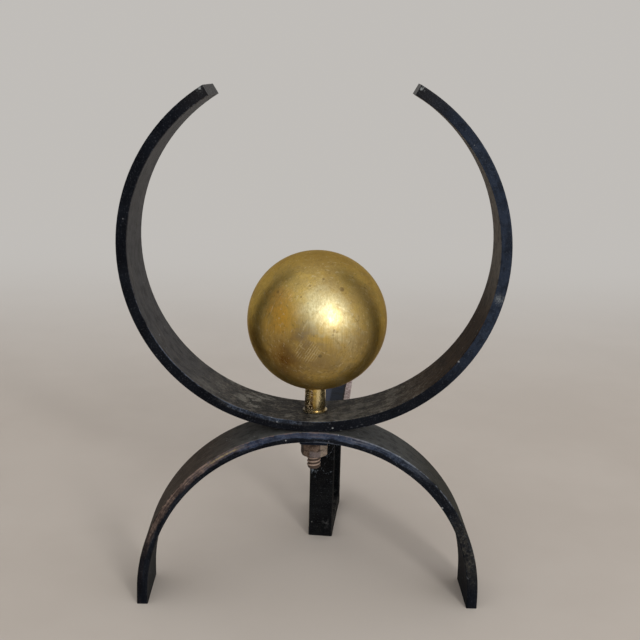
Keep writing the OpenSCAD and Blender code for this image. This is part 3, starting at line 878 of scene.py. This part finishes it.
def model_rusted_nut(material):
    """Hexagon turned to a chamfer at both ends, bored, its edges eaten round by rust."""
    height = NUT_HIGH.z - NUT_LOW.z
    middle = (NUT_HIGH.z + NUT_LOW.z) / 2
    corner_r = NUT_AF / math.sqrt(3)
    chamfer, chamfer_in = 0.8 * MM, 1.45 * MM
    bore_r = STUD_R - 0.25 * MM
    deselect_all()
    bpy.ops.mesh.primitive_cylinder_add(vertices=6, radius=corner_r, depth=height,
                                        location=(STUD_X, STUD_Y, middle),
                                        rotation=(0, 0, -NUT_TURN - math.pi / 2))
    nut = settle(bpy.context.object)
    deselect_all()
    bpy.ops.mesh.primitive_cylinder_add(vertices=96, radius=corner_r + 0.01 * MM,
                                        depth=height - 2 * chamfer,
                                        location=(STUD_X, STUD_Y, middle))
    blank = settle(bpy.context.object)
    for end in (-1, 1):
        level = middle + end * (height / 2 - chamfer)
        pick(blank, lambda at: abs(at.z - level) < AT_LEVEL, "FACE")
        bpy.ops.mesh.inset(thickness=chamfer_in, depth=chamfer)
        leave_edit()
    cut_with(nut, blank, "INTERSECT")
    deselect_all()
    bpy.ops.mesh.primitive_cylinder_add(vertices=48, radius=bore_r, depth=2 * height,
                                        location=(STUD_X, STUD_Y, middle))
    cut_with(nut, settle(bpy.context.object), "DIFFERENCE")
    apply_modifier(nut, "REMESH", mode="VOXEL", voxel_size=0.3 * MM, use_smooth_shade=True)
    apply_modifier(nut, "DISPLACE", texture=rust_lumps(2.2 * MM), texture_coords="LOCAL",
                   strength=0.55 * MM, mid_level=0.62)
    apply_modifier(nut, "SMOOTH", factor=0.5, iterations=2)
    hand_over(nut, "rusted_nut", "hex_nut", material, math.radians(60))


def model_weld_drop():
    """One ripple of a bead: a flat drop cut off flush with the log bar and the limb."""
    deselect_all()
    bpy.ops.mesh.primitive_uv_sphere_add(segments=32, ring_count=16, radius=WELD_SIZE)
    drop = bpy.context.object
    drop.scale = (DROP_SQUASH, 1.0, 1.0)
    settle(drop)
    for normal in ((0, 0, 1), (0, 1, 0)):
        bpy.ops.object.mode_set(mode="EDIT")
        bpy.ops.mesh.select_all(action="SELECT")
        bpy.ops.mesh.bisect(plane_co=(0, 0, 0), plane_no=normal, use_fill=True, clear_outer=True)
        leave_edit()
    return drop


def model_limb_welds(name, node, depth, material):
    """Rippled beads at the front and the back of one limb, under the log bar."""
    length = LEG_W - 1.6 * MM
    ripple = 1.3 * MM
    reach = WELD_SIZE * DROP_SQUASH
    count = int((length - 2 * reach) / ripple) + 1
    drop = model_weld_drop()
    drops = [drop] + [copy_piece(drop) for _ in range(1, count)]
    for i, each in enumerate(drops):
        swell = 1.0 - 0.06 * (i % 3)
        each.location = ((i - (count - 1) / 2) * ripple, 0, 0)
        each.scale = (1, swell, swell)
    for each in drops:
        settle(each)
    front = join_pieces(drops)
    apply_modifier(front, "REMESH", mode="VOXEL", voxel_size=0.22 * MM, use_smooth_shade=True)
    back = copy_piece(front)
    back.rotation_euler = (0, 0, math.pi)
    back.location = (0, LEG_T, 0)
    settle(back)
    welds = join_pieces([front, back])
    across, behind = -LEG_OFFSET, LEG_FRONT + depth
    cos, sin = math.cos(LEG_TURN), math.sin(LEG_TURN)
    welds.location = (STUD_X + across * cos + behind * sin,
                      STUD_Y - across * sin + behind * cos, LOG_UNDER - SEAT_GAP)
    welds.rotation_euler = (0, 0, -LEG_TURN)
    settle(welds)
    hand_over(welds, name, node, material, math.radians(60))


def dress(node, material):
    """Puts a material on a CAD node."""
    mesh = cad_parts[node].data
    mesh.materials.clear()
    mesh.materials.append(material)


BALL_BRASS = ball_brass()
STEM_BRASS = stem_brass()
WELD_IRON = weld_iron()
RUSTY_STEEL = rusty_steel()
dress("crescent", crescent_enamel())
dress("arch", arch_enamel())
dress("log_bar", log_bar_enamel())
dress("rear_leg", leg_enamel())
dress("front_limb_welds", WELD_IRON)
dress("rear_limb_welds", WELD_IRON)
dress("ball_upper_shell", BALL_BRASS)
dress("ball_lower_shell", BALL_BRASS)
dress("ball_bush", STEM_BRASS)
dress("stem_sleeve", STEM_BRASS)
dress("stem_ring", STEM_BRASS)
dress("stud", RUSTY_STEEL)
dress("hex_nut", RUSTY_STEEL)

model_threaded_stud(RUSTY_STEEL)
model_rusted_nut(RUSTY_STEEL)
model_limb_welds("front_weld_beads", "front_limb_welds", 0.0, WELD_IRON)
model_limb_welds("rear_weld_beads", "rear_limb_welds", LEG_DEPTH - LEG_T, WELD_IRON)


# ---------------------------------------------------------------- setting

# The photograph's camera: place about the stud, and its turns in radians
CAMERA_FROM_STUD = Vector((-10.735, -588.28, 310.83)) * MM
CAMERA_YAW = -0.021
CAMERA_PITCH_DOWN = 0.237
CAMERA_ROLL = 0.025
FOCAL_PIXELS = 1064.7
IMAGE_PIXELS = 640
SENSOR_MM = 36


def add_camera():
    data = bpy.data.cameras.new("photo_camera")
    data.sensor_width = SENSOR_MM
    data.lens = FOCAL_PIXELS / IMAGE_PIXELS * SENSOR_MM
    camera = bpy.data.objects.new("photo_camera", data)
    bpy.context.scene.collection.objects.link(camera)
    turn = (Matrix.Rotation(CAMERA_YAW, 4, "Z")
            @ Matrix.Rotation(math.pi / 2 - CAMERA_PITCH_DOWN, 4, "X")
            @ Matrix.Rotation(CAMERA_ROLL, 4, "Z"))
    at_stud = Vector((STUD_X, STUD_Y, 0.0))
    camera.matrix_world = Matrix.Translation(at_stud + CAMERA_FROM_STUD) @ turn
    bpy.context.scene.camera = camera


BACKDROP_WHITE = (0.53, 0.51, 0.485, 1)


def pale_backdrop():
    """Pale matt floor; the far part shows white to the camera and in reflections."""
    tree, shader, material = new_material("pale_backdrop", specular=0.1)
    coords = coordinates(tree)
    _, y, z = split_vector(coords)
    clouds = grain(coords, 5.0, 4.0, 0.6)
    colour = mix_colour(ramp(clouds, 0.35, 0.65), (0.555, 0.50, 0.455, 1), (0.585, 0.53, 0.485, 1))
    feed(shader.inputs["Base Color"], colour)
    shader.inputs["Roughness"].default_value = 0.9
    rays = by_name(tree.nodes.new("ShaderNodeLightPath").outputs)
    seen = maths("MAXIMUM", rays["Is Camera Ray"], rays["Is Glossy Ray"])
    behind = ramp(y + z * 0.6, 0.15, 1.1)
    around = ramp(vector_maths("LENGTH", coords), 0.9, 2.2)
    far = maths("MAXIMUM", behind, around * rays["Is Camera Ray"])
    white = add_node(tree, "ShaderNodeEmission", {"Color": BACKDROP_WHITE, "Strength": 1.0})
    mixed = add_node(tree, "ShaderNodeMixShader", {"Fac": seen * far})
    tree.links.new(shader.outputs["BSDF"], mixed.inputs[1])
    tree.links.new(white.outputs["Emission"], mixed.inputs[2])
    output = [node for node in tree.nodes if node.type == "OUTPUT_MATERIAL"][0]
    tree.links.new(mixed.outputs["Shader"], output.inputs["Surface"])
    return material


# Floor and backdrop, in metres
FLOOR_WIDTH, FLOOR_DEPTH = 7.0, 4.0
FLOOR_MIDDLE_Y = -0.5
BACKDROP_HEIGHT = 3.0
SWEEP_BEND = 0.6


def model_floor():
    """Pale floor that runs up into a pale backdrop behind the object."""
    margin = 0.1
    back = FLOOR_MIDDLE_Y + FLOOR_DEPTH / 2 - margin
    deselect_all()
    bpy.ops.mesh.primitive_plane_add(size=1.0, location=(0, FLOOR_MIDDLE_Y, 0))
    floor = bpy.context.object
    floor.scale = (FLOOR_WIDTH, FLOOR_DEPTH, 1.0)
    settle(floor)
    pick(floor, lambda at: at.y > back)
    bpy.ops.mesh.extrude_region_move(TRANSFORM_OT_translate={"value": (0, 0, BACKDROP_HEIGHT)})
    leave_edit()
    pick(floor, lambda at: at.y > back and at.z < margin)
    bpy.ops.mesh.bevel(offset=SWEEP_BEND, segments=14)
    leave_edit()
    take(floor)
    bpy.ops.object.shade_smooth()
    floor.name = "floor_sweep"
    floor.data.materials.append(pale_backdrop())


def add_area_light(name, place, target, size, power, colour, roll=0.0):
    data = bpy.data.lights.new(name, "AREA")
    data.shape = "RECTANGLE"
    data.size, data.size_y = size
    data.energy = power
    data.color = colour
    lamp = bpy.data.objects.new(name, data)
    aim = (Vector(target) - Vector(place)).to_track_quat("-Z", "Y").to_matrix().to_4x4()
    lamp.matrix_world = Matrix.Translation(place) @ aim @ Matrix.Rotation(roll, 4, "Z")
    bpy.context.scene.collection.objects.link(lamp)


# Bright parts of the room: direction, outer and inner angle in degrees, colour
WORLD_GLOWS = (
    ((-0.15, -0.30, 0.94), 62.0, 8.0, (0.85, 0.85, 0.83, 1)),
    ((0.62, -0.76, 0.18), 42.0, 8.0, (1.05, 1.06, 1.08, 1)),
    ((0.16, -0.80, 0.55), 38.0, 6.0, (1.25, 1.25, 1.20, 1)),
)


def add_world():
    """Soft room: a bright window side in front on the right and above, dim behind."""
    world = bpy.data.worlds.new("soft_room")
    world.use_nodes = True
    tree = world.node_tree
    way = coordinates(tree, "Generated")
    rightward = ramp(split_vector(way)[0], -0.4, 0.5)
    colour = mix_colour(rightward, (0.34, 0.34, 0.34, 1), (0.42, 0.43, 0.45, 1))
    for towards, wide, tight, glow in WORLD_GLOWS:
        aim = tuple(Vector(towards).normalized())
        lobe = ramp(vector_maths("DOT_PRODUCT", way, aim), math.cos(math.radians(wide)),
                    math.cos(math.radians(tight)))
        colour = mix_colour(lobe, colour, glow)
    # Beyond the floor's edge the camera sees the backdrop's own white
    rays = by_name(tree.nodes.new("ShaderNodeLightPath").outputs)
    colour = mix_colour(rays["Is Camera Ray"], colour, BACKDROP_WHITE)
    background = tree.nodes["Background"].inputs
    feed(background["Color"], colour)
    background["Strength"].default_value = 1.0
    bpy.context.scene.world = world


add_camera()
model_floor()
add_world()
add_area_light("window_key", place=(0.58, -1.43, 0.68), target=BALL_CENTRE, size=(0.15, 0.40),
               power=7.5, colour=(1.0, 0.99, 0.96), roll=math.radians(40))

bpy.context.scene.view_settings.view_transform = "Standard"
